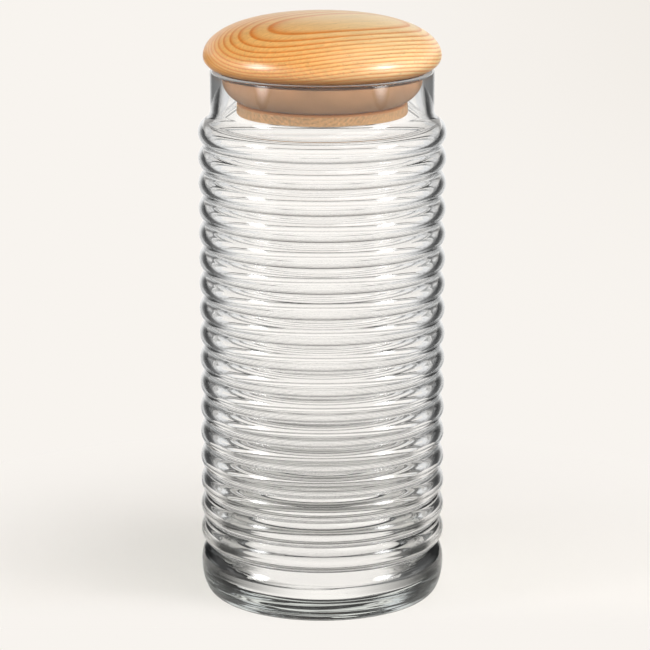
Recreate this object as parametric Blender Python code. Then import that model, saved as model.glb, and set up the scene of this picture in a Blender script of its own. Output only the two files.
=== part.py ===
"""Glass storage jar with horizontal ribs and a turned wooden lid.

Blender 4.5, metres, +Z up. The origin is the centre of the face that the jar stands on.
Every piece is turned about the Z axis: its outline is a half section in the XZ plane, as
(radius, height) points, and it is spun a full turn.
"""

import math

import bmesh
import bpy

MM = 0.001

# Turning and fits
TURN_STEPS = 32
FIT_GAP = 0.3 * MM
MERGE_DISTANCE = 0.003 * MM
RIB_STEPS = 4
INNER_RIB_STEPS = 2
CURVE_STEPS = 5
EDGE_STEPS = 6
CROWN_STEPS = 12
REST_SAMPLES = 360

# Glass body, outside
RIB_RADIUS = 55.0 * MM
RIBBED_HEIGHT = 188.1 * MM
RIB_COUNT = 17
GROOVE_DEPTH = 3.2 * MM
BASE_RING_HEIGHT = 23.0 * MM
BASE_CREST_HEIGHT = 14.0 * MM
FOOT_ROUND = 5.5 * MM
FOOT_FACE_WIDTH = 7.0 * MM
PUNT_DEPTH = 1.8 * MM
NECK_STEP = 5.5 * MM
NECK_FILLET = 5.1 * MM
NECK_LENGTH = 17.65 * MM

# Glass body, walls
NECK_WALL = 3.3 * MM
BODY_WALL = 2.0 * MM
INNER_FILLET = 2.6 * MM
FLOOR_THICKNESS = 8.0 * MM
FLOOR_CORNER = 11.0 * MM

# Wooden cap
CAP_OVERHANG = 3.0 * MM
CAP_CROWN_HEIGHT = 18.0 * MM
CAP_EDGE_DROP = 7.0 * MM
CAP_EDGE_ROUND = 11.0 * MM
CROWN_WIDE_POWER = 2.5
CROWN_TALL_POWER = 2.05

# Wooden plug
PLUG_DISC_INSET = 8.2 * MM
PLUG_DISC_THICKNESS = 4.7 * MM
PLUG_LEDGE_WIDTH = 8.0 * MM
PLUG_REACH = 19.2 * MM
PLUG_EDGE_ROUND = 0.8 * MM

# Seal
SEAL_FOOT_SETBACK = 0.8 * MM
SEAL_LIP_DROP = 2.4 * MM
SEAL_BULGE = 1.2 * MM
SEAL_LIP_THICKNESS = 1.0 * MM
SEAL_HUB_THICKNESS = 2.4 * MM
SEAL_FLOOR_THICKNESS = 2.2 * MM

# Dowel between cap and plug
DOWEL_RADIUS = 4.0 * MM
DOWEL_LENGTH = 20.0 * MM
DOWEL_CHAMFER = 0.8 * MM

# Radii and heights that follow from the sizes above
RIB_PITCH = RIBBED_HEIGHT / (RIB_COUNT - 0.5)
GROOVE_RADIUS = RIB_RADIUS - GROOVE_DEPTH
NECK_RADIUS = RIB_RADIUS - NECK_STEP
NECK_BORE_RADIUS = NECK_RADIUS - NECK_WALL
CAP_RADIUS = NECK_RADIUS + CAP_OVERHANG
CAP_EDGE_RADIUS = CAP_RADIUS - CAP_EDGE_ROUND
PLUG_DISC_RADIUS = NECK_BORE_RADIUS - PLUG_DISC_INSET
PLUG_STEM_RADIUS = PLUG_DISC_RADIUS - PLUG_LEDGE_WIDTH
SEAL_FOOT_RADIUS = PLUG_DISC_RADIUS - SEAL_FOOT_SETBACK
TOP_RIB_HEIGHT = BASE_RING_HEIGHT + RIBBED_HEIGHT
RIB_ARC_RADIUS = (RIB_PITCH**2 / 4 + GROOVE_DEPTH**2) / (2 * GROOVE_DEPTH)
SHOULDER_CENTRE = RIB_RADIUS - RIB_ARC_RADIUS
SHOULDER_RUN = NECK_RADIUS + NECK_FILLET - SHOULDER_CENTRE
SHOULDER_RISE = math.sqrt((RIB_ARC_RADIUS + NECK_FILLET) ** 2 - SHOULDER_RUN**2)
NECK_FOOT_HEIGHT = TOP_RIB_HEIGHT + SHOULDER_RISE
RIM_HEIGHT = NECK_FOOT_HEIGHT + NECK_LENGTH
LIP_ROUND = NECK_WALL / 2
LIP_MIDDLE_RADIUS = NECK_RADIUS - LIP_ROUND
LIP_MIDDLE_HEIGHT = RIM_HEIGHT - LIP_ROUND
PLUG_BOTTOM_HEIGHT = RIM_HEIGHT - PLUG_REACH
PLUG_LEDGE_HEIGHT = PLUG_BOTTOM_HEIGHT + PLUG_DISC_THICKNESS
DOWEL_BORE_RADIUS = DOWEL_RADIUS + FIT_GAP
DOWEL_BORE_DEPTH = DOWEL_LENGTH / 2 + FIT_GAP


def cap_rest_height():
    """The height of the cap's widest circle at which its rounded edge just clears the jar's lip."""
    reach = LIP_ROUND + FIT_GAP
    heights = []
    for step in range(REST_SAMPLES + 1):
        angle = math.pi / 2 * step / REST_SAMPLES
        off = CAP_EDGE_RADIUS + CAP_EDGE_ROUND * math.cos(angle) - LIP_MIDDLE_RADIUS
        if abs(off) < reach:
            rise = math.sqrt(reach**2 - off**2) + CAP_EDGE_DROP * math.sin(angle)
            heights.append(LIP_MIDDLE_HEIGHT + rise)
    return max(heights)


CAP_WIDEST_HEIGHT = cap_rest_height()
CAP_SEAT_HEIGHT = RIM_HEIGHT + FIT_GAP
STEM_TOP_HEIGHT = CAP_SEAT_HEIGHT - FIT_GAP
DOWEL_MIDDLE = CAP_SEAT_HEIGHT - FIT_GAP / 2


def clear_scene():
    for obj in list(bpy.data.objects):
        bpy.data.objects.remove(obj, do_unlink=True)


def finish_of(name, colour, roughness, transmission=0.0, subsurface=0.0):
    material = bpy.data.materials.new(name)
    material.use_nodes = True
    shader = material.node_tree.nodes["Principled BSDF"]
    shader.inputs["Base Color"].default_value = (*colour, 1.0)
    shader.inputs["Roughness"].default_value = roughness
    shader.inputs["Metallic"].default_value = 0.0
    shader.inputs["Transmission Weight"].default_value = transmission
    shader.inputs["Subsurface Weight"].default_value = subsurface
    material.diffuse_color = (*colour, 1.0 - 0.6 * transmission)
    return material


def oval_arc(centre, wide, tall, start, end, steps):
    """Points on an oval with half axes wide and tall, from angle start to angle end."""
    angles = [start + (end - start) * step / steps for step in range(steps + 1)]
    return [(centre[0] + wide * math.cos(a), centre[1] + tall * math.sin(a)) for a in angles]


def bulged(start, end, bulge, steps):
    """Points on the circular arc from start to end that stands bulge to the right of its chord."""
    run, rise = end[0] - start[0], end[1] - start[1]
    chord = math.hypot(run, rise)
    radius = (chord**2 / 4 + bulge**2) / (2 * bulge)
    half_angle = math.asin(chord / (2 * radius))
    right = (rise / chord, -run / chord)
    middle = ((start[0] + end[0]) / 2, (start[1] + end[1]) / 2)
    back = radius - bulge
    centre = (middle[0] - right[0] * back, middle[1] - right[1] * back)
    facing = math.atan2(right[1], right[0])
    return oval_arc(centre, radius, radius, facing - half_angle, facing + half_angle, steps)


def eased(start, end, steps):
    """Points on an S curve that leaves start and reaches end upright."""
    points = []
    for step in range(steps + 1):
        share = step / steps
        sway = (1 - math.cos(math.pi * share)) / 2
        points.append((start[0] + (end[0] - start[0]) * sway, start[1] + (end[1] - start[1]) * share))
    return points


def joined(*runs):
    """One outline from several, without the points that two of them share."""
    outline = []
    for run in runs:
        for point in run:
            if not outline or math.dist(point, outline[-1]) > MERGE_DISTANCE:
                outline.append(point)
    return outline


def turned(name, outline, material):
    """A solid turned from an outline that runs anticlockwise round its half section."""
    mesh = bmesh.new()
    corners = [mesh.verts.new((radius, 0.0, height)) for radius, height in outline]
    edges = [mesh.edges.new(pair) for pair in zip(corners, corners[1:])]
    if outline[0][0] > 0:
        edges.append(mesh.edges.new((corners[-1], corners[0])))
    bmesh.ops.spin(
        mesh,
        geom=corners + edges,
        cent=(0.0, 0.0, 0.0),
        axis=(0.0, 0.0, 1.0),
        angle=2 * math.pi,
        steps=TURN_STEPS,
        use_merge=True,
    )
    bmesh.ops.remove_doubles(mesh, verts=mesh.verts[:], dist=MERGE_DISTANCE)
    bmesh.ops.recalc_face_normals(mesh, faces=mesh.faces[:])
    data = bpy.data.meshes.new(name)
    mesh.to_mesh(data)
    mesh.free()
    data.shade_smooth()
    data.set_sharp_from_angle(angle=math.radians(40))
    data.materials.append(material)
    obj = bpy.data.objects.new(name, data)
    bpy.context.collection.objects.link(obj)
    return obj


def groove_height(index):
    return BASE_RING_HEIGHT + index * RIB_PITCH


def glass_outside():
    """The jar's outer side, from the middle of the underside up to the top of the neck."""
    foot_radius = RIB_RADIUS - FOOT_ROUND
    punt_radius = foot_radius - FOOT_FACE_WIDTH
    punt = oval_arc((0.0, 0.0), punt_radius, PUNT_DEPTH, math.pi / 2, 0.0, CURVE_STEPS)
    foot = oval_arc(
        (foot_radius, BASE_CREST_HEIGHT), FOOT_ROUND, BASE_CREST_HEIGHT, -math.pi / 2, 0.0, CURVE_STEPS
    )
    ring_rise = BASE_RING_HEIGHT - BASE_CREST_HEIGHT
    ring_arc = (ring_rise**2 + GROOVE_DEPTH**2) / (2 * GROOVE_DEPTH)
    ring_top = oval_arc(
        (RIB_RADIUS - ring_arc, BASE_CREST_HEIGHT),
        ring_arc,
        ring_arc,
        0.0,
        math.asin(ring_rise / ring_arc),
        2,
    )
    ribs = []
    for index in range(RIB_COUNT - 1):
        low = (GROOVE_RADIUS, groove_height(index))
        high = (GROOVE_RADIUS, groove_height(index + 1))
        ribs += bulged(low, high, GROOVE_DEPTH, RIB_STEPS)
    half_angle = math.asin(RIB_PITCH / 2 / RIB_ARC_RADIUS)
    shoulder_angle = math.atan2(SHOULDER_RISE, SHOULDER_RUN)
    shoulder = oval_arc(
        (SHOULDER_CENTRE, TOP_RIB_HEIGHT),
        RIB_ARC_RADIUS,
        RIB_ARC_RADIUS,
        -half_angle,
        shoulder_angle,
        RIB_STEPS + 1,
    )
    fillet = oval_arc(
        (NECK_RADIUS + NECK_FILLET, NECK_FOOT_HEIGHT),
        NECK_FILLET,
        NECK_FILLET,
        math.pi + shoulder_angle,
        math.pi,
        3,
    )
    return joined(punt, foot, ring_top, ribs, shoulder, fillet)


def glass_lip():
    """The fire-polished rim, a half round as wide as the neck's wall."""
    return oval_arc((LIP_MIDDLE_RADIUS, LIP_MIDDLE_HEIGHT), LIP_ROUND, LIP_ROUND, 0.0, math.pi, 6)


def glass_inside():
    """The hollow's side, from the neck down to the middle of the floor.

    Its wall follows the ribs: an arc behind each rib and a fillet over each groove.
    """
    crest_radius = RIB_RADIUS - BODY_WALL
    shoulder = eased((crest_radius, TOP_RIB_HEIGHT), (NECK_BORE_RADIUS, NECK_FOOT_HEIGHT), CURVE_STEPS)
    shoulder.reverse()
    arc_radius = RIB_ARC_RADIUS - BODY_WALL
    lean = math.asin(RIB_PITCH / 2 / (arc_radius + INNER_FILLET))
    fillet_middle = SHOULDER_CENTRE + (arc_radius + INNER_FILLET) * math.cos(lean)
    runs = [shoulder]
    start = 0.0
    for index in reversed(range(RIB_COUNT)):
        rib_height = BASE_RING_HEIGHT + (index + 0.5) * RIB_PITCH
        groove = (fillet_middle, groove_height(index))
        stop = lean if index > 0 else 0.0
        runs.append(
            oval_arc((SHOULDER_CENTRE, rib_height), arc_radius, arc_radius, start, -lean, INNER_RIB_STEPS)
        )
        runs.append(
            oval_arc(
                groove, INNER_FILLET, INNER_FILLET, math.pi - lean, math.pi + stop, INNER_RIB_STEPS
            )
        )
        start = lean
    floor_edge = runs[-1][-1][0]
    corner = oval_arc(
        (floor_edge - FLOOR_CORNER, FLOOR_THICKNESS + FLOOR_CORNER),
        FLOOR_CORNER,
        FLOOR_CORNER,
        0.0,
        -math.pi / 2,
        CURVE_STEPS,
    )
    return joined(*runs, corner, [(0.0, FLOOR_THICKNESS)])


def make_glass_jar():
    glass = finish_of("clear_glass", (0.86, 0.91, 0.90), 0.03, transmission=1.0)
    return turned("glass_jar", joined(glass_outside(), glass_lip(), glass_inside()), glass)


def cap_crown():
    """The cap's domed top, from its widest circle up to the middle, as a fuller oval."""
    points = []
    for step in range(CROWN_STEPS + 1):
        angle = math.pi / 2 * step / CROWN_STEPS
        out = max(math.cos(angle), 0.0) ** (2 / CROWN_WIDE_POWER)
        up = math.sin(angle) ** (2 / CROWN_TALL_POWER)
        points.append((CAP_RADIUS * out, CAP_WIDEST_HEIGHT + CAP_CROWN_HEIGHT * up))
    points[-1] = (0.0, CAP_WIDEST_HEIGHT + CAP_CROWN_HEIGHT)
    return points


def make_lid_cap():
    wood = finish_of("cap_wood", (0.78, 0.47, 0.19), 0.35)
    bore_top = CAP_SEAT_HEIGHT + DOWEL_BORE_DEPTH
    bore = [(0.0, bore_top), (DOWEL_BORE_RADIUS, bore_top), (DOWEL_BORE_RADIUS, CAP_SEAT_HEIGHT)]
    seat_angle = math.asin((CAP_SEAT_HEIGHT - CAP_WIDEST_HEIGHT) / CAP_EDGE_DROP)
    edge = oval_arc(
        (CAP_EDGE_RADIUS, CAP_WIDEST_HEIGHT), CAP_EDGE_ROUND, CAP_EDGE_DROP, seat_angle, 0.0, EDGE_STEPS
    )
    return turned("lid_cap", joined(bore, edge, cap_crown()), wood)


def make_lid_plug():
    wood = finish_of("plug_wood", (0.72, 0.50, 0.28), 0.55)
    bore_floor = STEM_TOP_HEIGHT - DOWEL_BORE_DEPTH
    low_edge = oval_arc(
        (PLUG_DISC_RADIUS - PLUG_EDGE_ROUND, PLUG_BOTTOM_HEIGHT + PLUG_EDGE_ROUND),
        PLUG_EDGE_ROUND,
        PLUG_EDGE_ROUND,
        -math.pi / 2,
        0.0,
        3,
    )
    ledge = [
        (PLUG_DISC_RADIUS, PLUG_LEDGE_HEIGHT),
        (PLUG_STEM_RADIUS, PLUG_LEDGE_HEIGHT),
    ]
    stem = [
        (PLUG_STEM_RADIUS, STEM_TOP_HEIGHT),
        (DOWEL_BORE_RADIUS, STEM_TOP_HEIGHT),
        (DOWEL_BORE_RADIUS, bore_floor),
        (0.0, bore_floor),
    ]
    return turned("lid_plug", joined([(0.0, PLUG_BOTTOM_HEIGHT)], low_edge, ledge, stem), wood)


def make_seal_ring():
    """A hub round the plug's stem, a floor on its ledge and a skirt that flares to the neck."""
    rubber = finish_of("frosted_seal", (0.66, 0.55, 0.47), 0.5, transmission=0.2, subsurface=0.2)
    floor_height = PLUG_LEDGE_HEIGHT + FIT_GAP
    lip_height = RIM_HEIGHT - SEAL_LIP_DROP
    lip_radius = NECK_BORE_RADIUS - FIT_GAP
    hub_inner = PLUG_STEM_RADIUS + FIT_GAP
    hub_outer = hub_inner + SEAL_HUB_THICKNESS
    hub_top = STEM_TOP_HEIGHT
    trough_height = floor_height + SEAL_FLOOR_THICKNESS
    skirt = bulged((SEAL_FOOT_RADIUS, floor_height), (lip_radius, lip_height), SEAL_BULGE, CURVE_STEPS)
    inner_skirt = bulged(
        (SEAL_FOOT_RADIUS, trough_height),
        (lip_radius - SEAL_LIP_THICKNESS, lip_height),
        SEAL_BULGE,
        CURVE_STEPS,
    )
    inner_skirt.reverse()
    hub = [
        (hub_outer, trough_height),
        (hub_outer, hub_top),
        (hub_inner, hub_top),
        (hub_inner, floor_height),
    ]
    return turned("seal_ring", joined(skirt, inner_skirt, hub), rubber)


def make_lid_dowel():
    wood = finish_of("dowel_wood", (0.70, 0.52, 0.32), 0.6)
    low, high = DOWEL_MIDDLE - DOWEL_LENGTH / 2, DOWEL_MIDDLE + DOWEL_LENGTH / 2
    outline = [
        (0.0, low),
        (DOWEL_RADIUS - DOWEL_CHAMFER, low),
        (DOWEL_RADIUS, low + DOWEL_CHAMFER),
        (DOWEL_RADIUS, high - DOWEL_CHAMFER),
        (DOWEL_RADIUS - DOWEL_CHAMFER, high),
        (0.0, high),
    ]
    return turned("lid_dowel", outline, wood)


def parented(obj, parent):
    obj.parent = parent
    obj.matrix_parent_inverse = parent.matrix_world.inverted()


def main():
    clear_scene()
    make_glass_jar()
    seal = make_seal_ring()
    for piece in (make_lid_cap(), make_lid_plug(), make_lid_dowel()):
        parented(piece, seal)


main()
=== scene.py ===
"""Ribbed glass storage jar with a turned wooden lid: fine surfaces, finishes and stage."""

import math

import bmesh
import bpy
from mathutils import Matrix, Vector, noise


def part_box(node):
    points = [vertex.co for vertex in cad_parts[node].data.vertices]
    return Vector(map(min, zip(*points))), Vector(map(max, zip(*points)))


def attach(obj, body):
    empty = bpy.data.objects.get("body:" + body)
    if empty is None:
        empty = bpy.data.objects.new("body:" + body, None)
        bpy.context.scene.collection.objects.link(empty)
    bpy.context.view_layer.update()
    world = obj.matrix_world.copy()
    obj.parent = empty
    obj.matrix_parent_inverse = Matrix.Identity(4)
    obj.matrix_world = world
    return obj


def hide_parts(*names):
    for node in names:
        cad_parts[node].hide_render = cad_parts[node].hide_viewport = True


bl_info = {
    "name": "Ribbed Storage Jar",
    "version": (1, 0, 0),
    "blender": (4, 5, 0),
    "location": "3D View > Sidebar > Storage Jar",
    "description": "Models a ribbed glass jar with a lacquered wooden lid and lights it",
    "category": "Object",
}

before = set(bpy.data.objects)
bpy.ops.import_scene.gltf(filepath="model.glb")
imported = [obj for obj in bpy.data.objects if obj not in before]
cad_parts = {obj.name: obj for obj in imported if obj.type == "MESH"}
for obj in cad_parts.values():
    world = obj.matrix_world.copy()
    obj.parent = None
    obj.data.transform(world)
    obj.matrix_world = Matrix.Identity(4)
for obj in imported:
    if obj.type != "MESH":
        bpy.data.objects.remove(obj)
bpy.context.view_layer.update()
JAR_LOW, JAR_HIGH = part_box("glass_jar")
CAP_LOW, CAP_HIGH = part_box("lid_cap")
PLUG_LOW, PLUG_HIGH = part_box("lid_plug")
SEAL_LOW, SEAL_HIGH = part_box("seal_ring")
DOWEL_LOW, DOWEL_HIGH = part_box("lid_dowel")

MM = 0.001
# Outline points closer than this are one point.
MERGE = 0.003 * MM
SHARP_ANGLE = math.radians(50)
# Gap round the dowel and between the plug's stem and the seal, as in the frame.
GLUE_GAP = 0.3 * MM
LEDGE_CHAMFER = 0.3 * MM
PITCH_ROUNDS = 20
# A measure that changes from rib to rib does so evenly at a power of 1.
GROWTH_POWER = 0.9
# Swells of the blown glass per metre.
SWELL_SCALE = 60.0
EDGE_STEPS = 16
DOME_STEPS = 64
DISC_EDGE_STEPS = 6
SKIRT_STEPS = 24
FLAG_STEPS = 8

# The base ring's streaks fade out between these heights.
BASE_RING = (0.016, 0.026)
BASE_STREAKS = (10.0, 10.0, 320.0)
STREAK_BUMP = 0.0006
GLASS_IOR = 1.5
TINT_DENSITY = 12.0
# Painted glow at which paths caught in the glass end, a colour standing in for the light they would find:
# by height in units of 250 mm, and by streak in the base ring.
CAUGHT_UNITS = 4.0
CAUGHT_PAINTED_GLOW = [
    (0.10, 0.015),
    (0.15, 0.25),
    (0.40, 0.50),
    (0.87, 0.62),
    (0.89, 0.25),
    (0.92, 0.25),
    (0.93, (0.25, 0.13, 0.06)),
]
CAUGHT_GLOW_IN_BASE = [(0.42, 0.01), (0.52, 0.03), (0.62, 0.50)]
# Depths from which a path counts as caught.
CAUGHT_GLOSSY = (2.9, 3.1)
CAUGHT_RAY = (8.9, 9.1)
# Over one growth ring, 0 is early wood and 1 the dark line.
RING_LINE = [(0.0, 1.0), (0.05, 0.35), (0.12, 0.0), (0.50, 0.05), (0.76, 0.50), (0.90, 1.0)]

PHOTO_SIDE = 650
SENSOR_WIDTH = 36.0
FLOOR_RADIUS = 12.0
FLOOR_TURNS = 96
# The floor is a little lower than the foot, so that the two faces don't coincide.
FLOOR_DROP = 0.0002
# The glass's four faces reflect about this share of the backdrop away.
GLASS_LOSS = 0.13
# Greys of the flags, by angle from the view as a share of the outer edge's.
FLAG_GREYS = [
    (0.11, 1.0),
    (0.20, 0.95),
    (0.26, 0.50),
    (0.32, 0.10),
    (0.40, 0.03),
    (0.58, 0.06),
    (0.76, 0.7),
]
FLAG_STRENGTH = 0.92
GLOW_DISTANCE = 1.0
GLOW_TURNS = 48
GLOW_LEFT = (-0.874, -0.465, 0.14)
GLOW_RIGHT = (0.862, -0.487, 0.14)
LAMP_DISTANCE = 1.2
LAMP_TOWARD = (0.40, -0.35, 0.85)
LAMP_SIDE = 0.9


def length_prop(name, default, description):
    return bpy.props.FloatProperty(
        name=name, description=description, default=default, unit="LENGTH", precision=5
    )


def count_prop(name, default, description):
    return bpy.props.IntProperty(name=name, description=description, default=default, min=1)


def colour_prop(name, default, description):
    return bpy.props.FloatVectorProperty(
        name=name, description=description, default=default, subtype="COLOR", min=0.0, max=1.0
    )


class JarSizes(bpy.types.PropertyGroup):
    rib_radius: length_prop("Rib radius", JAR_HIGH.x, "Outer radius at the crest of each rib")
    rim_height: length_prop("Rim height", JAR_HIGH.z, "Top of the fire-polished rim")
    rib_count: count_prop("Ribs", 17, "Hoop ribs above the base ring")
    groove_depth: length_prop("Groove depth", 3.2 * MM, "How far each groove is set in from the crests")
    groove_round: length_prop("Groove fillet", 1.0 * MM, "Radius at the bottom of the top groove")
    low_groove: length_prop("Low groove fillet", 0.3 * MM, "Radius at the bottom of the lowest groove")
    ring_height: length_prop("Base ring height", 23.0 * MM, "Height of the lowest groove")
    ring_crest: length_prop("Base ring crest", 14.0 * MM, "Height of the base ring's widest circle")
    foot_round: length_prop("Foot round", 5.5 * MM, "How far the foot is set in under the base ring")
    foot_face: length_prop("Foot face", 7.0 * MM, "Width of the flat ring that the jar stands on")
    punt_depth: length_prop("Punt depth", 1.8 * MM, "Rise of the dished underside")
    neck_step: length_prop("Neck step", 5.5 * MM, "How far the neck is set in from the ribs")
    neck_fillet: length_prop("Neck fillet", 5.1 * MM, "Radius between shoulder and neck")
    neck_length: length_prop("Neck length", 17.65 * MM, "Straight neck, rim included")
    neck_wall: length_prop("Neck wall", 3.3 * MM, "Glass thickness at the neck")
    lip_rise: length_prop("Lip rise", 0.9 * MM, "Height of the rim's rounded top")
    body_wall: length_prop("Body wall", 3.0 * MM, "Glass thickness behind the ribs")
    low_wall: length_prop("Low wall", 4.0 * MM, "Glass thickness behind the lowest rib")
    inner_round: length_prop("Inner fillet", 5.0 * MM, "Radius of the inside over the top groove")
    low_round: length_prop("Low inner fillet", 10.0 * MM, "Radius of the inside over the lowest groove")
    floor: length_prop("Floor", 8.0 * MM, "Height of the inner floor")
    floor_corner: length_prop("Floor corner", 11.0 * MM, "Inner radius between wall and floor")
    waviness: length_prop("Waviness", 0.015 * MM, "Unevenness of the blown glass between the ribs")
    turns: count_prop("Turn steps", 96, "Steps round the axis")


class LidSizes(bpy.types.PropertyGroup):
    crown_height: length_prop("Crown height", 18.0 * MM, "Cap above its widest circle")
    edge_drop: length_prop("Edge drop", 7.0 * MM, "Half height of the oval under the widest circle")
    edge_round: length_prop("Edge round", 11.0 * MM, "Half width of the oval under the widest circle")
    wide_power: bpy.props.FloatProperty(
        name="Crown fullness", description="Exponent of the crown across", default=2.5
    )
    tall_power: bpy.props.FloatProperty(
        name="Crown roundness", description="Exponent of the crown upwards", default=2.05
    )
    disc_thickness: length_prop("Disc thickness", 4.7 * MM, "Thickness of the plug's bottom disc")
    ledge_width: length_prop("Ledge width", 8.0 * MM, "Disc's ledge round the stem")
    disc_round: length_prop("Disc edge", 0.8 * MM, "Round on the disc's lower edge")
    turns: count_prop("Turn steps", 160, "Steps round the axis")


class SealSizes(bpy.types.PropertyGroup):
    lip_drop: length_prop("Lip drop", 2.4 * MM, "Seal's lip below the jar's rim")
    foot_setback: length_prop("Foot setback", 0.8 * MM, "Seal's foot inside the disc's edge")
    bulge: length_prop("Skirt bulge", 2.1 * MM, "How far the skirt bellies out")
    lip: length_prop("Lip", 1.0 * MM, "Skirt thickness at the lip")
    hub: length_prop("Hub", 2.4 * MM, "Thickness of the hub round the stem")
    base: length_prop("Base", 2.2 * MM, "Thickness of the seal's floor")


class Finishes(bpy.types.PropertyGroup):
    glass_tint: colour_prop("Glass tint", (0.67, 0.72, 0.705), "Light that is left after thick glass")
    glass_shadow: colour_prop("Glass shadow", (0.82, 0.83, 0.82), "Light that a face lets pass to a shadow")
    early_wood: colour_prop("Early wood", (0.98, 0.71, 0.36), "Pale wood between growth rings")
    late_wood: colour_prop("Late wood", (0.80, 0.24, 0.02), "Dark line of each growth ring")
    # Heartwood and painted shade: this colour makes the cap's side away from the key lamp darker and more
    # orange.
    heart_wood_and_shade: colour_prop("Heartwood", (0.90, 0.48, 0.14), "Warmer wood on one side of the cap")
    pores: colour_prop("Pores", (0.30, 0.10, 0.02), "Flecks in the cap's wood")
    # Painted shade: this darker colour under the cap's edge stands for the shade there. The lacquer's coat
    # also stops there.
    cap_under_shade: colour_prop("Cap underside", (0.42, 0.17, 0.035), "Wood without lacquer under the cap")
    plug_wood: colour_prop("Plug wood", (0.74, 0.41, 0.165), "Pale wood of the turned plug")
    plug_line: colour_prop("Plug lines", (0.52, 0.26, 0.10), "Growth lines of the turned plug")
    plug_ledge: colour_prop("Plug ledge", (0.60, 0.22, 0.04), "Plug from the disc's ledge upwards")
    dowel_wood: colour_prop("Dowel", (0.6, 0.42, 0.25), "Bare wood of the dowel")
    seal_tint: colour_prop("Seal", (0.72, 0.38, 0.175), "Frosted seal")
    backdrop: colour_prop("Backdrop", (0.939, 0.905, 0.863), "Studio backdrop, and the floor far out")
    corner: colour_prop("Backdrop corner", (0.855, 0.815, 0.762), "Backdrop far back on the right")
    floor: colour_prop("Floor", (0.93, 0.895, 0.85), "Floor round the jar")
    bounce: colour_prop("Floor bounce", (0.45, 0.42, 0.38), "Floor as far as it lights the object")
    shade: colour_prop("Floor shade", (0.03, 0.032, 0.03), "Dark floor round the jar, seen in the glass")
    room: colour_prop("Room", (0.02, 0.02, 0.02), "Dark studio above the backdrop, seen in the glass")
    plain_light: colour_prop("Plain light", (0.45, 0.447, 0.443), "Even light on the object")


class StageSettings(bpy.types.PropertyGroup):
    focal_pixels: bpy.props.FloatProperty(
        name="Focal length", description="In pixels of the photo", default=2900.0
    )
    camera_distance: length_prop("Camera distance", 1.3034, "From the axis point that it looks at")
    camera_tilt: bpy.props.FloatProperty(
        name="Camera tilt", description="Below level", default=math.radians(13.788), unit="ROTATION"
    )
    aim_height: length_prop("Aim height", 0.12268, "Height on the axis at the picture's middle")
    axis_pixel: bpy.props.FloatProperty(
        name="Axis pixel", description="Where the jar's axis stands across the photo", default=322.3
    )
    flag_start: length_prop("Flag start", 0.05, "Beside the axis, where the flags' edges point to")
    flag_near: length_prop("Flag foot", 0.15, "From there to the flags along the floor")
    flag_far: length_prop("Flag head", 0.80, "From there to the flags at their top")
    flag_height: length_prop("Flag height", 0.30, "Top of the flags")
    flag_wide: bpy.props.FloatProperty(
        name="Flag outer edge", description="From the view", default=math.radians(85.0), unit="ROTATION"
    )
    flag_narrow: bpy.props.FloatProperty(
        name="Flag inner edge", description="From the view", default=math.radians(9.0), unit="ROTATION"
    )
    glow_radius: length_prop("Glow radius", 0.25, "Of the two round softboxes beside the lid")
    glow_strength: bpy.props.FloatProperty(
        name="Glow strength", description="Of the round softboxes at their middle", default=21.0
    )
    lamp_power: bpy.props.FloatProperty(
        name="Lamp power", description="Of the softbox above", default=7.5, unit="POWER"
    )


class Value:
    """A number in a node tree. Sums on it add Math nodes."""

    def __init__(self, finish, socket):
        self.finish = finish
        self.socket = socket

    def output(self, name):
        return Value(self.finish, self.socket.node.outputs[name])

    def __add__(self, other):
        return self.finish.maths("ADD", self, other)

    def __sub__(self, other):
        return self.finish.maths("SUBTRACT", self, other)

    def __rsub__(self, other):
        return self.finish.maths("SUBTRACT", other, self)

    def __mul__(self, other):
        return self.finish.maths("MULTIPLY", self, other)

    def __truediv__(self, other):
        return self.finish.maths("DIVIDE", self, other)

    def __rtruediv__(self, other):
        return self.finish.maths("DIVIDE", other, self)

    __radd__ = __add__
    __rmul__ = __mul__


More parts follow.
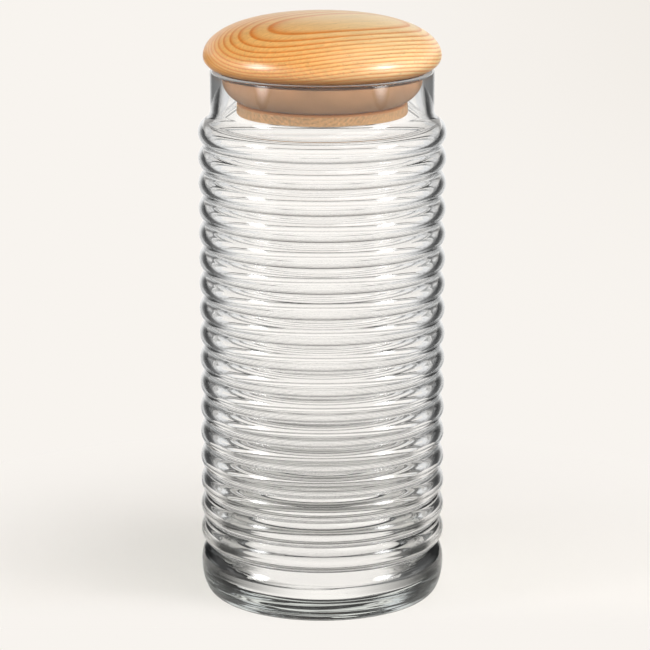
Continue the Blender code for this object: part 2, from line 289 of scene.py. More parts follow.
class Finish:
    """A node tree being filled, for a material or for the world."""

    def __init__(self, owner):
        owner.use_nodes = True
        self.tree = owner.node_tree
        self.tree.nodes.clear()
        self.owner = owner

    def node(self, kind, settings=None, sockets=None, out=0):
        """A node with these settings and these values or links in its sockets."""
        made = self.tree.nodes.new(kind)
        for key, value in (settings or {}).items():
            if key == "stops":
                self.fill_ramp(made.color_ramp, value)
            else:
                setattr(made, key, value)
        for key, value in (sockets or {}).items():
            self.feed(made.inputs[key], value)
        return Value(self, made.outputs[out])

    def feed(self, socket, value):
        if isinstance(value, Value):
            self.tree.links.new(value.socket, socket)
        elif socket.type == "RGBA":
            socket.default_value = (*value[:3], 1.0)
        else:
            socket.default_value = value

    def fill_ramp(self, ramp, stops):
        while len(ramp.elements) < len(stops):
            ramp.elements.new(1.0)
        for element, (place, colour) in zip(ramp.elements, stops):
            element.position = place
            element.color = (*colour, 1.0) if isinstance(colour, tuple) else (colour,) * 3 + (1.0,)

    def maths(self, operation, first, second=0.0):
        return self.node("ShaderNodeMath", {"operation": operation}, {0: first, 1: second})

    def mixed(self, share, first, second, blend="MIX"):
        """A colour between first and second, by share."""
        settings = {"data_type": "RGBA", "blend_type": blend, "clamp_result": False}
        return self.node("ShaderNodeMix", settings, {0: share, 6: first, 7: second}, out=2)

    def blended(self, share, first, second):
        """A surface between first and second, by share."""
        return self.node("ShaderNodeMixShader", None, {0: share, 1: first, 2: second})

    def ramp(self, value, stops):
        return self.node("ShaderNodeValToRGB", {"stops": stops}, {0: value})

    def ramped(self, value, low, high):
        """0 up to low, 1 from high, with a smooth rise between."""
        settings = {"interpolation_type": "SMOOTHSTEP"}
        return self.node("ShaderNodeMapRange", settings, {0: value, 1: low, 2: high})

    def band(self, value, rise, fall):
        """1 between the rise and the fall, each given as where it starts and ends, and 0 beyond them."""
        return self.ramped(value, *rise) * (1.0 - self.ramped(value, *fall))

    def place(self):
        return self.node("ShaderNodeTexCoord").output("Object")

    def distance(self, place):
        return self.node("ShaderNodeVectorMath", {"operation": "LENGTH"}, {0: place}).output("Value")

    def parts(self, vector):
        x = self.node("ShaderNodeSeparateXYZ", None, {0: vector})
        return x, x.output("Y"), x.output("Z")

    def stretched(self, x, y, z, scale):
        """A place for a noise, with a factor for each direction."""
        sockets = {0: x * scale[0], 1: y * scale[1], 2: z * scale[2]}
        return self.node("ShaderNodeCombineXYZ", None, sockets)

    def noise(self, place, scale, detail=2.0):
        return self.node("ShaderNodeTexNoise", None, {0: place, "Scale": scale, "Detail": detail})

    def bump(self, height, strength, distance):
        sockets = {"Height": height, "Strength": strength, "Distance": distance}
        return self.node("ShaderNodeBump", None, sockets)

    def glowing(self, colour, strength=1.0):
        return self.node("ShaderNodeEmission", None, {"Color": colour, "Strength": strength})

    def ends(self, surface, volume=None):
        """The material or world, with this surface and volume."""
        world = isinstance(self.owner, bpy.types.World)
        output = self.tree.nodes.new("ShaderNodeOutputWorld" if world else "ShaderNodeOutputMaterial")
        self.feed(output.inputs["Surface"], surface)
        if volume:
            self.feed(output.inputs["Volume"], volume)
        return self.owner


def new_finish(name):
    return Finish(bpy.data.materials.new(name))


def oval_arc(centre, wide, tall, start, end, steps):
    """Points on an oval with half axes wide and tall, from angle start to angle end."""
    angles = [start + (end - start) * step / steps for step in range(steps + 1)]
    return [(centre[0] + wide * math.cos(a), centre[1] + tall * math.sin(a)) for a in angles]


def bulged(start, end, bulge, steps):
    """Points on the circular arc from start to end that stands bulge to the right of its chord."""
    run, rise = end[0] - start[0], end[1] - start[1]
    chord = math.hypot(run, rise)
    radius = (chord**2 / 4 + bulge**2) / (2 * bulge)
    half_angle = math.asin(chord / (2 * radius))
    right = (rise / chord, -run / chord)
    back = radius - bulge
    centre = ((start[0] + end[0]) / 2 - right[0] * back, (start[1] + end[1]) / 2 - right[1] * back)
    facing = math.atan2(right[1], right[0])
    return oval_arc(centre, radius, radius, facing - half_angle, facing + half_angle, steps)


def joined(*runs):
    """One outline from several, without the points that two of them share."""
    outline = []
    for run in runs:
        for point in run:
            if not outline or math.dist(point, outline[-1]) > MERGE:
                outline.append(point)
    return outline


def put(name, mesh, material):
    """An object at the origin with the bmesh's faces."""
    data = bpy.data.meshes.new(name)
    mesh.to_mesh(data)
    mesh.free()
    data.materials.append(material)
    made = bpy.data.objects.new(name, data)
    bpy.context.collection.objects.link(made)
    return made


def turned(name, outline, material, turns, uneven=None):
    """A piece spun from a half section of (radius, height) points; uneven moves single points."""
    mesh = bmesh.new()
    corners = [mesh.verts.new((radius, 0.0, height)) for radius, height in outline]
    edges = [mesh.edges.new(pair) for pair in zip(corners, corners[1:])]
    if outline[0][0] > 0:
        edges.append(mesh.edges.new((corners[-1], corners[0])))
    bmesh.ops.spin(
        mesh,
        geom=corners + edges,
        cent=(0.0, 0.0, 0.0),
        axis=(0.0, 0.0, 1.0),
        angle=2 * math.pi,
        steps=turns,
        use_merge=True,
    )
    bmesh.ops.remove_doubles(mesh, verts=mesh.verts[:], dist=MERGE)
    bmesh.ops.recalc_face_normals(mesh, faces=mesh.faces[:])
    if uneven:
        for corner in mesh.verts:
            corner.co += uneven(corner.co)
    piece = put(name, mesh, material)
    piece.data.shade_smooth()
    piece.data.set_sharp_from_angle(angle=SHARP_ANGLE)
    return piece


def dress(piece, body, node):
    """The piece rides on its body and stands for its node, which is hidden."""
    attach(piece, body)
    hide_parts(node)


class JarOutline:
    """The glass body's half section, in runs that follow one another round it."""

    ARC_STEPS = 16
    FILLET_STEPS = 8
    CURVE_STEPS = 20

    def __init__(self, sizes):
        self.sizes = sizes
        self.pitch = self.find_pitch()
        self.top_rib = sizes.ring_height + (sizes.rib_count - 0.5) * self.pitch
        self.arc = (self.pitch**2 / 4 + sizes.groove_depth**2) / (2 * sizes.groove_depth)
        self.neck = sizes.rib_radius - sizes.neck_step
        self.neck_foot = sizes.rim_height - sizes.neck_length

    def rise_over(self, pitch):
        """Height from the top rib's crest to the straight neck, for ribs of this pitch."""
        s = self.sizes
        arc = (pitch**2 / 4 + s.groove_depth**2) / (2 * s.groove_depth)
        run = s.neck_fillet - s.neck_step + arc
        return math.sqrt((arc + s.neck_fillet) ** 2 - run**2)

    def find_pitch(self):
        """The pitch that fits the ribs and the shoulder between base ring and neck."""
        s = self.sizes
        room = s.rim_height - s.neck_length - s.ring_height
        pitch = room / s.rib_count
        for _ in range(PITCH_ROUNDS):
            pitch = (room - self.rise_over(pitch)) / (s.rib_count - 0.5)
        return pitch

    def foot(self):
        s = self.sizes
        radius = s.rib_radius - s.foot_round
        punt = oval_arc(
            (0.0, 0.0), radius - s.foot_face, s.punt_depth, math.pi / 2, 0.0, self.CURVE_STEPS
        )
        corner = oval_arc(
            (radius, s.ring_crest), s.foot_round, s.ring_crest, -math.pi / 2, 0.0, self.CURVE_STEPS
        )
        return joined(punt, corner)

    def outside(self):
        s = self.sizes
        rounds = [self.grown(s.groove_round, s.low_groove, index) for index in range(s.rib_count)]
        rib_centre = s.rib_radius - self.arc
        rise = s.ring_height - s.ring_crest
        ring_arc = (rise**2 + s.groove_depth**2) / (2 * s.groove_depth)
        ring_centre = (s.rib_radius - ring_arc, s.ring_crest)
        crests = [s.ring_height + (index + 0.5) * self.pitch for index in range(s.rib_count)]
        circles = [(ring_centre, ring_arc)] + [((rib_centre, crest), self.arc) for crest in crests]
        neck_centre = (self.neck + s.neck_fillet, self.neck_foot)
        leave = self.shoulder_lean()
        neck = oval_arc(
            neck_centre, s.neck_fillet, s.neck_fillet, math.pi + leave, math.pi, self.CURVE_STEPS
        )
        return joined(self.foot(), self.waves(circles, rounds, 0.0, leave), neck)

    def waves(self, circles, rounds, start, leave):
        """Arcs of the circles from low to high, with a fillet of the given radius between each two."""
        runs = []
        for (centre, arc), (above, arc_above), round_ in zip(circles, circles[1:], rounds):
            fillet = self.fillet_centre(centre, arc + round_, above, arc_above + round_)
            stop = math.atan2(fillet[1] - centre[1], fillet[0] - centre[0])
            meet = math.atan2(fillet[1] - above[1], fillet[0] - above[0])
            runs.append(oval_arc(centre, arc, arc, start, stop, self.ARC_STEPS))
            runs.append(
                oval_arc(fillet, round_, round_, stop - math.pi, meet - math.pi, self.FILLET_STEPS)
            )
            start = meet
        centre, arc = circles[-1]
        runs.append(oval_arc(centre, arc, arc, start, leave, self.ARC_STEPS))
        return joined(*runs)

    def fillet_centre(self, low, low_reach, high, high_reach):
        """The point outside two circles' centres that lies at these two distances from them."""
        span = math.dist(low, high)
        along = (low_reach**2 - high_reach**2 + span**2) / (2 * span)
        out = math.sqrt(low_reach**2 - along**2)
        up = ((high[0] - low[0]) / span, (high[1] - low[1]) / span)
        return (low[0] + up[0] * along + up[1] * out, low[1] + up[1] * along - up[0] * out)

    def lip(self):
        half, rise = self.sizes.neck_wall / 2, self.sizes.lip_rise
        return oval_arc(
            (self.neck - half, self.sizes.rim_height - rise), half, rise, 0.0, math.pi, self.ARC_STEPS
        )

    def shoulder_lean(self):
        """Angle over level, seen from the top rib's centre, at which rib and neck fillet meet."""
        s = self.sizes
        out = self.neck + s.neck_fillet - s.rib_radius + self.arc
        return math.atan2(self.neck_foot - self.top_rib, out)

    def shoulder(self):
        """The inside under the neck, whose wall thins from the neck's to the body's."""
        s = self.sizes
        middle = (self.neck + s.neck_fillet, self.neck_foot)
        points = []
        for step in range(self.CURVE_STEPS + 1):
            share = step / self.CURVE_STEPS
            angle = math.pi + self.shoulder_lean() * share
            reach = s.neck_fillet + s.neck_wall + (s.body_wall - s.neck_wall) * share
            points.append((middle[0] + reach * math.cos(angle), middle[1] + reach * math.sin(angle)))
        return points

    def grown(self, high, low, index):
        """A measure that grows from the top rib's value to the lowest rib's."""
        return high + (low - high) * (1 - index / (self.sizes.rib_count - 1)) ** GROWTH_POWER

    def inside(self):
        """The floor, an arc behind each rib with a fillet over each groove, shoulder and neck."""
        s = self.sizes
        ribs, rounds = [], []
        for index in range(s.rib_count):
            centre = (s.rib_radius - self.arc, s.ring_height + (index + 0.5) * self.pitch)
            ribs.append((centre, self.arc - self.grown(s.body_wall, s.low_wall, index)))
            rounds.append(self.grown(s.inner_round, s.low_round, index))
        reach = ribs[0][1] + rounds[0]
        lean = math.asin(self.pitch / 2 / reach)
        groove = (ribs[0][0][0] + reach * math.cos(lean), s.ring_height)
        groove_arc = oval_arc(
            groove, rounds[0], rounds[0], math.pi, math.pi - lean, self.FILLET_STEPS
        )
        corner = oval_arc(
            (groove_arc[0][0] - s.floor_corner, s.floor + s.floor_corner),
            s.floor_corner,
            s.floor_corner,
            -math.pi / 2,
            0.0,
            self.CURVE_STEPS,
        )
        waves = self.waves(ribs, rounds[1:], -lean, self.shoulder_lean())
        upward = joined([(0.0, s.floor)], corner, groove_arc, waves, reversed(self.shoulder()))
        upward.reverse()
        return upward

    def whole(self):
        return joined(self.outside(), self.lip(), self.inside())


def glass_finish(finishes):
    """Clear glass, with a tint where it is thick and fine level streaks in the base ring.

    The renderer ends a path in black after so many bounces. Here a path that the glass keeps inside
    ends before that in a painted glow, a colour that stands in for the light it would find and goes
    by height: dark over the base, pale behind the ribs, grey in the neck and brown at the rim, a
    painted reflection of the wood next to it.
    """
    f = new_finish("clear_glass")
    x, y, z = f.parts(f.place())
    low = 1.0 - f.ramped(z, *BASE_RING)
    streak = f.noise(f.stretched(x, y, z, BASE_STREAKS), 1.0, 1.0)
    body = f.node(
        "ShaderNodeBsdfPrincipled",
        None,
        {
            "Base Color": (1.0, 1.0, 1.0),
            "Normal": f.bump(streak * low, 1.0, STREAK_BUMP),
            "Roughness": 0.0,
            "IOR": GLASS_IOR,
            "Transmission Weight": 1.0,
        },
    )
    clear = f.node("ShaderNodeBsdfTransparent", None, {"Color": finishes.glass_shadow})
    rays = f.node("ShaderNodeLightPath")
    surface = f.blended(rays.output("Is Shadow Ray"), body, clear)
    # Painted glow: caught paths end in a colour that stands in for light, brown at the rim as a painted
    # reflection of the wood.
    colour = f.mixed(low, f.ramp(z * CAUGHT_UNITS, CAUGHT_PAINTED_GLOW), f.ramp(streak, CAUGHT_GLOW_IN_BASE))
    caught = f.maths(
        "MAXIMUM",
        f.ramped(rays.output("Glossy Depth"), *CAUGHT_GLOSSY),
        f.ramped(rays.output("Ray Depth"), *CAUGHT_RAY),
    )
    surface = f.blended(caught, surface, f.glowing(colour))
    tint = {"Color": finishes.glass_tint, "Density": TINT_DENSITY}
    return f.ends(surface, f.node("ShaderNodeVolumeAbsorption", None, tint))


class JAR_OT_make_glass(bpy.types.Operator):
    """Model the blown glass body"""

    bl_idname = "storage_jar.make_glass"
    bl_label = "Glass Body"

    def execute(self, context):
        sizes = context.scene.jar_sizes
        middle = sizes.rib_radius - sizes.body_wall / 2 - sizes.groove_depth / 2

        def uneven(place):
            """Blown glass is a little uneven, apart from the ribs, which the mould shapes."""
            outward = Vector((place.x, place.y, 0.0))
            if outward.length > middle or outward.length < MERGE:
                return Vector()
            swell = noise.noise(place * SWELL_SCALE) * sizes.waviness
            return outward.normalized() * swell

        glass = glass_finish(context.scene.jar_finishes)
        jar = turned("glass_body", JarOutline(sizes).whole(), glass, sizes.turns, uneven)
        dress(jar, "jar", "glass_jar")
        return {"FINISHED"}


class Grain:
    """Growth rings, fibres and pores of a block of wood, from a place in it.

    Depth counts down from top, along goes with the fibres and across over them. Across, a ring rises
    on both sides of its lowest line, as an arc of ring_radius does, and offset is that line's distance
    from the axis. Along, the ring falls on both sides of the axis by bend_before and bend_after, and
    lean raises it on the first of these sides. The first ring is at the depth of start.
    """

    def __init__(
        self, finish, top, turn, offset, ring_radius, bend_before, bend_after, lean, spacing, start
    ):
        self.finish = finish
        x, y, z = finish.parts(finish.place())
        sway = self.streaks(x, y, z, (9.0, 28.0, 28.0)) - 0.5
        self.along = x * math.cos(turn) + y * math.sin(turn)
        self.across = y * math.cos(turn) - x * math.sin(turn)
        self.depth = top - z
        aside = self.across + offset
        before = finish.maths("MINIMUM", self.along, 0.0)
        after = self.along - before
        bent = before * before * -bend_before - after * after * bend_after - before * lean
        rise = self.depth + aside * aside * (0.5 / ring_radius) + bent
        rings = (rise - start) / spacing + sway * 0.4
        self.rings = finish.maths("MAXIMUM", rings, 0.3)
        self.fine = self.streaks(self.along, self.across, z, (60.0, 900.0, 900.0))
        self.blotch = self.streaks(self.along, self.across, z, (14.0, 40.0, 40.0))

    def streaks(self, x, y, z, scale, detail=2.0):
        return self.finish.noise(self.finish.stretched(x, y, z, scale), 1.0, detail)

    def line(self):
        """0 on early wood, rising slowly to 1 at the end of each ring, where it drops at once."""
        return self.finish.ramp(self.finish.maths("FRACT", self.rings), RING_LINE)

    def pores(self):
        spots = self.streaks(self.along, self.across, self.depth, (600.0, 2200.0, 2200.0), 0.0)
        return self.finish.ramped(spots, 0.70, 0.78)


def cap_finish(finishes):
    """Lacquered softwood, whose rings close to an oval near the cap's top, with painted shade under its
    edge and, partly, on one side.
    """
    f = new_finish("cap_wood")
    grain = Grain(
        f,
        top=CAP_HIGH.z,
        turn=math.radians(29.7),
        offset=0.0303,
        ring_radius=0.1366,
        bend_before=2.26,
        bend_after=1.5,
        lean=0.0276,
        spacing=1.622 * MM,
        start=1.615 * MM,
    )
    # Heartwood, partly painted shade: towards negative along, the wood is darker and more orange with
    # stronger ring lines, as on the side that gets less light.
    side = f.ramped(grain.along, -0.045, 0.02)
    strength = grain.line() * (grain.blotch * 0.9 + 0.60 - side * 0.25)
    wood = f.mixed(side, finishes.heart_wood_and_shade, finishes.early_wood)
    wood = f.mixed(strength, wood, finishes.late_wood)
    wood = f.mixed(1.0, wood, f.ramp(grain.fine, [(0.3, 0.90), (0.7, 1.08)]), "MULTIPLY")
    wood = f.mixed(grain.pores() * 0.3, wood, finishes.pores)
    # Below the widest circle the coat fades out and the colour turns darker. The dark colour is painted
    # shade under the cap's edge.
    lacquered_unshaded = 1.0 - f.ramped(grain.depth, 19.5 * MM, 24.0 * MM)
    shader = f.node(
        "ShaderNodeBsdfPrincipled",
        None,
        {
            "Base Color": f.mixed(lacquered_unshaded, finishes.cap_under_shade, wood),
            "Specular IOR Level": 0.3,
            "Roughness": 0.42 + grain.fine * 0.1,
            "Coat Weight": lacquered_unshaded * 0.8,
            "Coat IOR": 1.9,
            "Coat Roughness": 0.31,
            "Normal": f.bump(grain.fine, 0.05, 0.0004),
        },
    )
    return f.ends(shader)


class JAR_OT_make_cap(bpy.types.Operator):
    """Model the domed wooden cap"""

    bl_idname = "storage_jar.make_cap"
    bl_label = "Wooden Cap"

    def execute(self, context):
        sizes = context.scene.lid_sizes
        radius, seat = CAP_HIGH.x, CAP_LOW.z
        widest = CAP_HIGH.z - sizes.crown_height
        bore = (DOWEL_HIGH.x + GLUE_GAP, DOWEL_HIGH.z + GLUE_GAP)
        hole = [(0.0, bore[1]), bore, (bore[0], seat)]
        edge = oval_arc(
            (radius - sizes.edge_round, widest),
            sizes.edge_round,
            sizes.edge_drop,
            math.asin((seat - widest) / sizes.edge_drop),
            0.0,
            EDGE_STEPS,
        )
        dome = []
        for step in range(DOME_STEPS):
            angle = math.pi / 2 * step / DOME_STEPS
            out = math.cos(angle) ** (2 / sizes.wide_power)
            rise = math.sin(angle) ** (2 / sizes.tall_power)
            dome.append((radius * out, widest + sizes.crown_height * rise))
        dome.append((0.0, CAP_HIGH.z))
        wood = cap_finish(context.scene.jar_finishes)
        cap = turned("wooden_cap", joined(hole, edge, dome), wood, sizes.turns)
        dress(cap, "lid", "lid_cap")
        return {"FINISHED"}


def plug_finish(finishes, ledge):
    """Turned wood with a fine mottle, darker from the disc's ledge upwards."""
    f = new_finish("plug_wood")
    grain = Grain(
        f,
        top=PLUG_HIGH.z,
        turn=math.radians(-12.0),
        offset=0.12,
        ring_radius=0.05,
        bend_before=0.0,
        bend_after=0.0,
        lean=0.05,
        spacing=1.9 * MM,
        start=0.0,
    )
    mottle = grain.streaks(grain.along, grain.across, grain.depth, (900.0, 900.0, 900.0))
    dark_from = ledge - PLUG_HIGH.z - 1.0 * MM
    dark_at = ledge - PLUG_HIGH.z - 0.5 * MM
    wood = f.mixed(grain.line() * 0.6, finishes.plug_wood, finishes.plug_line)
    wood = f.mixed(1.0, wood, f.ramp(mottle, [(0.35, 0.80), (0.65, 1.10)]), "MULTIPLY")
    wood = f.mixed(f.ramped(grain.depth * -1.0, dark_from, dark_at), wood, finishes.plug_ledge)
    return f.ends(f.node("ShaderNodeBsdfPrincipled", None, {"Base Color": wood, "Roughness": 0.55}))


class JAR_OT_make_plug(bpy.types.Operator):
    """Model the wooden plug under the cap"""

    bl_idname = "storage_jar.make_plug"
    bl_label = "Wooden Plug"

    def execute(self, context):
        sizes = context.scene.lid_sizes
        radius, low, high = PLUG_HIGH.x, PLUG_LOW.z, PLUG_HIGH.z
        stem = radius - sizes.ledge_width
        ledge = low + sizes.disc_thickness
        edge = oval_arc(
            (radius - sizes.disc_round, low + sizes.disc_round),
            sizes.disc_round,
            sizes.disc_round,
            -math.pi / 2,
            0.0,
            DISC_EDGE_STEPS,
        )
        chamfer = [(radius, ledge - LEDGE_CHAMFER), (radius - LEDGE_CHAMFER, ledge)]
        bore, bottom = DOWEL_HIGH.x + GLUE_GAP, DOWEL_LOW.z - GLUE_GAP
        hole = [(stem, ledge), (stem, high), (bore, high), (bore, bottom), (0.0, bottom)]
        outline = joined([(0.0, low)], edge, chamfer, hole)
        wood = plug_finish(context.scene.jar_finishes, ledge)
        plug = turned("wooden_plug", outline, wood, sizes.turns)
        dress(plug, "lid", "lid_plug")
        return {"FINISHED"}


def seal_finish(finishes, foot, lip):
    """Frosted and faintly clouded, darker towards its foot. Foot and lip are heights."""
    f = new_finish("frosted_seal")
    place = f.place()
    up = (f.parts(place)[2] - foot) / (lip - foot)
    cloud = f.ramp(f.noise(place, 55.0, 3.0), [(0.3, 0.82), (0.7, 1.10)])
    tint = f.mixed(1.0, finishes.seal_tint, cloud, "MULTIPLY")
    tint = f.mixed(1.0, tint, f.ramp(up, [(0.0, 0.50), (0.5, 0.80), (1.0, 1.12)]), "MULTIPLY")
    speck = f.noise(place, 900.0)
    shader = f.node(
        "ShaderNodeBsdfPrincipled",
        None,
        {
            "Base Color": tint,
            "Roughness": 0.58 + speck * 0.2,
            "Transmission Weight": 0.2,
            "IOR": 1.4,
            "Normal": f.bump(speck, 0.12, 0.0002),
        },
    )
    return f.ends(shader)


class JAR_OT_make_seal(bpy.types.Operator):
    """Model the frosted seal"""

    bl_idname = "storage_jar.make_seal"
    bl_label = "Frosted Seal"

    def execute(self, context):
        sizes, lid = context.scene.seal_sizes, context.scene.lid_sizes
        foot = PLUG_HIGH.x - sizes.foot_setback
        low, lip_radius = SEAL_LOW.z, SEAL_HIGH.x
        lip = JAR_HIGH.z - sizes.lip_drop
        stem = PLUG_HIGH.x - lid.ledge_width + GLUE_GAP
        floor = low + sizes.base
        skirt = bulged((foot, low), (lip_radius, lip), sizes.bulge, SKIRT_STEPS)
        inner = bulged((foot, floor), (lip_radius - sizes.lip, lip), sizes.bulge, SKIRT_STEPS)
        inner.reverse()
        wide = stem + sizes.hub
        hub = [(wide, floor), (wide, SEAL_HIGH.z), (stem, SEAL_HIGH.z), (stem, low)]
        frosted = seal_finish(context.scene.jar_finishes, low, lip)
        seal = turned("frosted_seal", joined(skirt, inner, hub), frosted, lid.turns)
        dress(seal, "seal", "seal_ring")
        return {"FINISHED"}


class JAR_OT_make_dowel(bpy.types.Operator):
    """Finish the hidden dowel"""

    bl_idname = "storage_jar.make_dowel"
    bl_label = "Dowel"

    def execute(self, context):
        f = new_finish("dowel_wood")
        bare = {"Base Color": context.scene.jar_finishes.dowel_wood, "Roughness": 0.6}
        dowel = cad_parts["lid_dowel"]
        dowel.material_slots[0].material = f.ends(f.node("ShaderNodeBsdfPrincipled", None, bare))
        return {"FINISHED"}


def seen_in_glass(finishes):
    """The backdrop for gloss and glass, with what the glass's faces reflect away made up for."""
    return tuple(part * (1 + GLASS_LOSS) for part in finishes.backdrop)


def floor_finish(finishes):
    """Pale floor that keeps the jar's shadow and is the plain backdrop in front and further out.

    Gloss and glass see a painted shadow on it round the jar, most of it beside the jar. Distances are
    in metres from the jar's axis.
    """
    f = new_finish("studio_floor")
    place = f.place()
    across, back, _ = f.parts(place)
    distance = f.distance(place)
    rays = f.node("ShaderNodeLightPath")
    mirrored = rays.output("Is Glossy Ray") + rays.output("Is Transmission Ray")
    under = 1.0 - f.ramped(distance, 0.03, 0.05)
    out = 0.1 + f.ramped(distance, 0.08, 0.26) * 0.9 + under * 0.7
    plain = f.maths("MAXIMUM", out, f.ramped(back * -1.0, -0.01, 0.06))
    fading = f.ramped(across, -0.1, 0.7) * f.ramped(back, 0.2, 1.6)
    backdrop = f.mixed(fading, finishes.backdrop, finishes.corner)
    backdrop = f.glowing(f.mixed(mirrored, backdrop, seen_in_glass(finishes)))
    lit = f.node("ShaderNodeBsdfDiffuse", None, {"Color": finishes.floor})
    bounce = f.node("ShaderNodeBsdfDiffuse", None, {"Color": finishes.bounce})
    lit = f.blended(rays.output("Is Diffuse Ray"), lit, bounce)
    floor = f.blended(plain * (rays.output("Is Camera Ray") + mirrored), lit, backdrop)
    beside = across * across / (distance * distance + 0.0001)
    sides = f.band(distance, (0.035, 0.05), (0.08, 0.17)) * beside
    sides = sides * (0.55 - f.ramped(back, 0.0, 0.04) * 0.4)
    behind = f.band(distance, (0.055, 0.075), (0.12, 0.22)) * f.ramped(back, 0.02, 0.06)
    dark = f.maths("MAXIMUM", sides, behind * (1.0 - beside) * 0.4) * mirrored
    return f.ends(f.blended(dark, floor, f.glowing(finishes.shade)))


def put_disc(name, radius, segments, material):
    """A flat round card, level and facing up."""
    mesh = bmesh.new()
    bmesh.ops.create_circle(mesh, cap_ends=True, radius=radius, segments=segments)
    return put(name, mesh, material)


def add_floor(finishes):
    floor = put_disc("studio_floor", FLOOR_RADIUS, FLOOR_TURNS, floor_finish(finishes))
    floor.location.z = -FLOOR_DROP


def add_flags(stage, camera):
    """Two dark flags beside the view, which edge the glass in black as in the photo.

    They go with the camera like the rest of the photographer's set, and only glass and gloss
    see them. They are white next to the view, so that their near edges don't show.
    """
    f = new_finish("black_flag")
    x, y, _ = f.parts(f.place())
    angle = f.maths("ARCTAN2", f.maths("ABSOLUTE", x) - stage.flag_start, y)
    black = f.ends(f.glowing(f.ramp(angle / stage.flag_wide, FLAG_GREYS), FLAG_STRENGTH))
    mesh = bmesh.new()
    for side in (-1, 1):
        rows = []
        for reach, height in ((stage.flag_near, 0.0), (stage.flag_far, stage.flag_height)):
            row = []
            for step in range(FLAG_STEPS + 1):
                turn = stage.flag_narrow + (stage.flag_wide - stage.flag_narrow) * step / FLAG_STEPS
                out = stage.flag_start + reach * math.sin(turn)
                row.append(mesh.verts.new((side * out, reach * math.cos(turn), height)))
            rows.append([mesh.edges.new(pair) for pair in zip(row, row[1:])])
        bmesh.ops.bridge_loops(mesh, edges=rows[0] + rows[1])
    flags = put("black_flags", mesh, black)
    flags.visible_camera = False
    flags.visible_diffuse = False
    flags.visible_shadow = False
    flags.parent = camera
    bpy.context.view_layer.update()
    flags.matrix_parent_inverse = camera.matrix_world.inverted()


def add_world(finishes):
    """Plain light for the object, the backdrop for the camera, a dark room over it for the glass."""
    world = bpy.data.worlds.new("studio")
    bpy.context.scene.world = world
    f = Finish(world)
    rays = f.node("ShaderNodeLightPath")
    glossy, through = rays.output("Is Glossy Ray"), rays.output("Is Transmission Ray")
    up = f.parts(f.node("ShaderNodeTexCoord").output("Generated"))[2]
    overhead = f.ramped(up, 0.02, 0.11) * through + f.ramped(up, 0.15, 0.45) * glossy
    room = f.mixed(overhead, seen_in_glass(finishes), finishes.room)
    direct = 1.0 - f.ramped(rays.output("Diffuse Depth"), 0.2, 0.8)
    colour = f.mixed((glossy + through) * direct, finishes.plain_light, room)
    colour = f.mixed(rays.output("Is Camera Ray"), colour, finishes.backdrop)
    f.ends(f.node("ShaderNodeBackground", None, {"Color": colour, "Strength": 1.0}))


def aim(box, toward, distance):
    """The box stands off from the lid in this direction and faces it."""
    direction = Vector(toward).normalized()
    box.location = Vector((0.0, 0.0, CAP_LOW.z)) + direction * distance
    box.rotation_euler = direction.to_track_quat("Z", "Y").to_euler()


def add_lamp(stage):
    """A square softbox that neither the camera nor gloss sees."""
    lamp = bpy.data.lights.new("key_light", "AREA")
    lamp.shape = "RECTANGLE"
    lamp.size, lamp.size_y = LAMP_SIDE, LAMP_SIDE
    lamp.energy = stage.lamp_power
    box = bpy.data.objects.new("key_light", lamp)
    aim(box, LAMP_TOWARD, LAMP_DISTANCE)
    box.visible_camera = False
    box.visible_glossy = False
    bpy.context.collection.objects.link(box)


def add_glow(name, toward, stage):
    """A round softbox that fades out to its edge, so that gloss shows it without an outline.

    It is dimmed for rays that have come through glass, and less so where they light wood or seal.
    """
    f = new_finish(name)
    rays = f.node("ShaderNodeLightPath")
    through = f.ramped(rays.output("Transmission Depth"), 0.2, 0.8)
    through = through * (0.8 - f.ramped(rays.output("Diffuse Depth"), 0.2, 0.8) * 0.6)
    radius = stage.glow_radius
    glow = (1.0 - f.ramped(f.distance(f.place()), radius * 0.15, radius)) * (1.0 - through)
    box = put_disc(name, radius, GLOW_TURNS, f.ends(f.glowing(glow, stage.glow_strength)))
    aim(box, toward, GLOW_DISTANCE)
    box.visible_camera = False
    box.visible_shadow = False


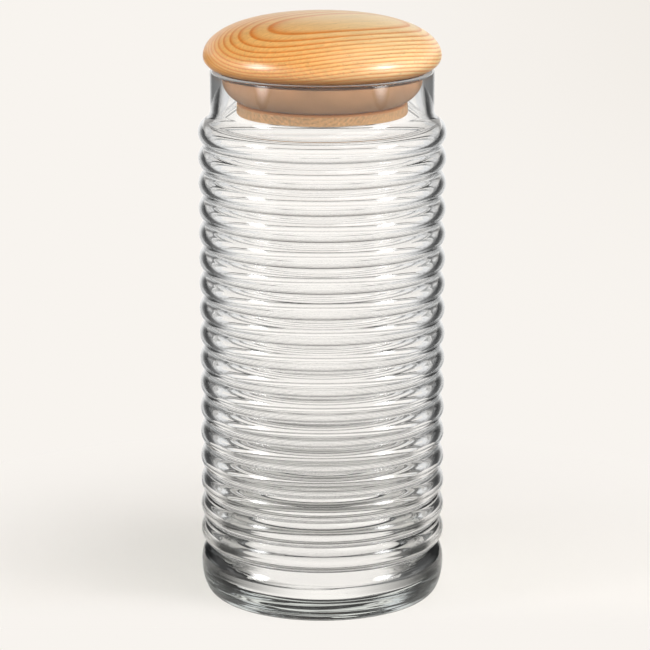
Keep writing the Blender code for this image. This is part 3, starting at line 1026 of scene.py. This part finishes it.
def add_camera(stage):
    """A camera without shift that looks down on the jar as the photo does."""
    camera = bpy.data.cameras.new("photo_camera")
    camera.sensor_width = SENSOR_WIDTH
    camera.lens = SENSOR_WIDTH * stage.focal_pixels / PHOTO_SIDE
    view = bpy.data.objects.new("photo_camera", camera)
    sideways = (PHOTO_SIDE / 2 - stage.axis_pixel) * stage.camera_distance / stage.focal_pixels
    tilt = stage.camera_tilt
    view.location = (
        sideways,
        -stage.camera_distance * math.cos(tilt),
        stage.aim_height + stage.camera_distance * math.sin(tilt),
    )
    view.rotation_euler = (math.pi / 2 - tilt, 0.0, 0.0)
    bpy.context.scene.collection.objects.link(view)
    bpy.context.scene.camera = view
    return view


class JAR_OT_make_stage(bpy.types.Operator):
    """Add floor, backdrop, flags, lamps and camera"""

    bl_idname = "storage_jar.make_stage"
    bl_label = "Stage"

    def execute(self, context):
        stage, finishes = context.scene.jar_stage, context.scene.jar_finishes
        context.scene.view_settings.view_transform = "Standard"
        view = add_camera(stage)
        add_floor(finishes)
        add_flags(stage, view)
        add_world(finishes)
        add_glow("glow_left", GLOW_LEFT, stage)
        add_glow("glow_right", GLOW_RIGHT, stage)
        add_lamp(stage)
        return {"FINISHED"}


class JAR_PT_panel(bpy.types.Panel):
    """Lists the pieces and the stage in the sidebar"""

    bl_label = "Storage Jar"
    bl_space_type = "VIEW_3D"
    bl_region_type = "UI"
    bl_category = "Storage Jar"

    def draw(self, context):
        for operator in OPERATORS:
            self.layout.operator(operator.bl_idname)


GROUPS = {
    "jar_sizes": JarSizes,
    "lid_sizes": LidSizes,
    "seal_sizes": SealSizes,
    "jar_finishes": Finishes,
    "jar_stage": StageSettings,
}
OPERATORS = (
    JAR_OT_make_stage,
    JAR_OT_make_glass,
    JAR_OT_make_cap,
    JAR_OT_make_plug,
    JAR_OT_make_seal,
    JAR_OT_make_dowel,
)


def register():
    for name, group in GROUPS.items():
        bpy.utils.register_class(group)
        setattr(bpy.types.Scene, name, bpy.props.PointerProperty(type=group))
    for operator in OPERATORS:
        bpy.utils.register_class(operator)
    bpy.utils.register_class(JAR_PT_panel)


def unregister():
    bpy.utils.unregister_class(JAR_PT_panel)
    for operator in reversed(OPERATORS):
        bpy.utils.unregister_class(operator)
    for name, group in reversed(GROUPS.items()):
        delattr(bpy.types.Scene, name)
        bpy.utils.unregister_class(group)


def main():
    register()
    bpy.ops.storage_jar.make_stage()
    bpy.ops.storage_jar.make_glass()
    bpy.ops.storage_jar.make_cap()
    bpy.ops.storage_jar.make_plug()
    bpy.ops.storage_jar.make_seal()
    bpy.ops.storage_jar.make_dowel()


if __name__ == "__main__":
    main()
